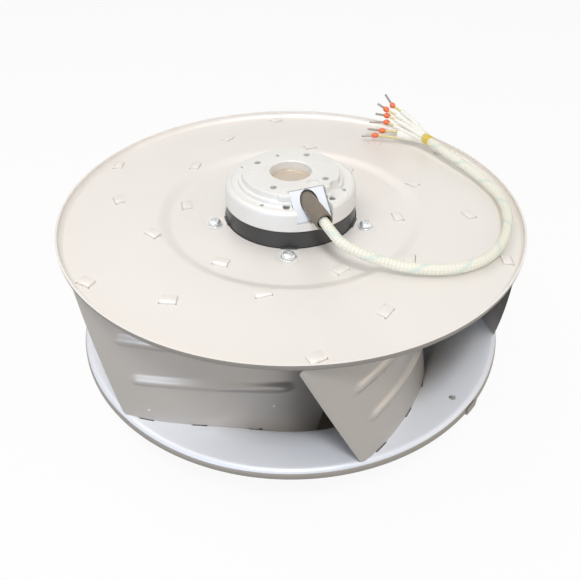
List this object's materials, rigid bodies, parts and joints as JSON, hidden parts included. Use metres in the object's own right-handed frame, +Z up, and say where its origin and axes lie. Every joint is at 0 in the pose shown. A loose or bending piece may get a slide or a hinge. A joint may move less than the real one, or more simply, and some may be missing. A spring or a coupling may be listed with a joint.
{
  "type": "plug fan",
  "caption": "Backward-curved centrifugal impeller on an external-rotor motor, with a die-cast stator flange and a braided supply cable with ferruled leads.",
  "frame": {"origin": "on the motor axis in the plane of the shroud's inlet edge, on which the fan stands", "axes": "+Z up the motor axis from the inlet to the stator's mounting face; the cable leaves the flange towards -Y and is turned towards +X"},
  "size_m": [0.36, 0.36, 0.1869],
  "materials": {
    "impeller_sheet": "rolled sheet, bright and slightly warm",
    "blade_sheet": "rolled sheet, pressed beads",
    "die_cast": "die-cast, fine satin grain",
    "entry_metal": "die-cast insert, smooth",
    "rotor_black": "semi-gloss black coating",
    "zinc_steel": "bright zinc plate",
    "bearing_steel": "ground steel",
    "spring_steel": "dark spring steel",
    "cage_brass": "pressed brass",
    "cap_metal": "yellow-passivated cap",
    "laminations": "stacked electrical sheet",
    "cage_aluminium": "cast rotor cage",
    "copper": "varnished copper wire",
    "insulation": "pale insulation sheet",
    "sleeve_rubber": "dark grey-brown rubber sleeve",
    "glass_braid": "woven glass sleeving, cream",
    "tie_yellow": "wound yellow thread",
    "lead_white": "soft white wire insulation",
    "ferrule_orange": "moulded orange collar",
    "ferrule_tin": "tinned crimp"
  },
  "bodies": {
    "stator": {"stator_flange": "die_cast", "bearing_cap": "cap_metal", "entry_panel": "entry_metal", "cable_sleeve": "sleeve_rubber", "stator_core": "laminations", "slot_insulators": "insulation", "stator_windings": "copper", "thermal_switch": "insulation", "preload_spring": "spring_steel", "upper_bearing_outer": "bearing_steel", "lower_bearing_outer": "bearing_steel", "power_cable": "glass_braid", "cable_tie": "tie_yellow", "lead_wires": "lead_white", "ferrule_collars": "ferrule_orange", "ferrule_tips": "ferrule_tin"},
    "impeller": {"rotor_bell": "rotor_black", "rotor_core": "laminations", "rotor_cage": "cage_aluminium", "motor_shaft": "bearing_steel", "shaft_circlip": "spring_steel", "upper_bearing_inner": "bearing_steel", "lower_bearing_inner": "bearing_steel", "back_plate": "impeller_sheet", "shroud": "impeller_sheet", "rotor_screws": "zinc_steel", "screw_washers": "zinc_steel", "balance_clip": "zinc_steel", "blade_1": "blade_sheet", "blade_2": "blade_sheet", "blade_3": "blade_sheet", "blade_4": "blade_sheet", "blade_5": "blade_sheet", "blade_6": "blade_sheet"},
    "upper_ball_set": {"upper_bearing_balls": "bearing_steel", "upper_bearing_cage": "cage_brass"},
    "lower_ball_set": {"lower_bearing_balls": "bearing_steel", "lower_bearing_cage": "cage_brass"}
  },
  "joints": [
    {"name": "impeller_spin", "type": "hinge", "parent": "stator", "child": "impeller", "pos_m": [0, 0, 0.15], "axis": [0, 0, 1], "continuous": true},
    {"name": "upper_balls_spin", "type": "hinge", "parent": "stator", "child": "upper_ball_set", "pos_m": [0, 0, 0.1678], "axis": [0, 0, 1], "continuous": true},
    {"name": "lower_balls_spin", "type": "hinge", "parent": "stator", "child": "lower_ball_set", "pos_m": [0, 0, 0.085], "axis": [0, 0, 1], "continuous": true}
  ],
  "couplings": [
    {"joint": "upper_balls_spin", "follows": "impeller_spin", "ratio": 0.3659},
    {"joint": "lower_balls_spin", "follows": "impeller_spin", "ratio": 0.3659}
  ]
}
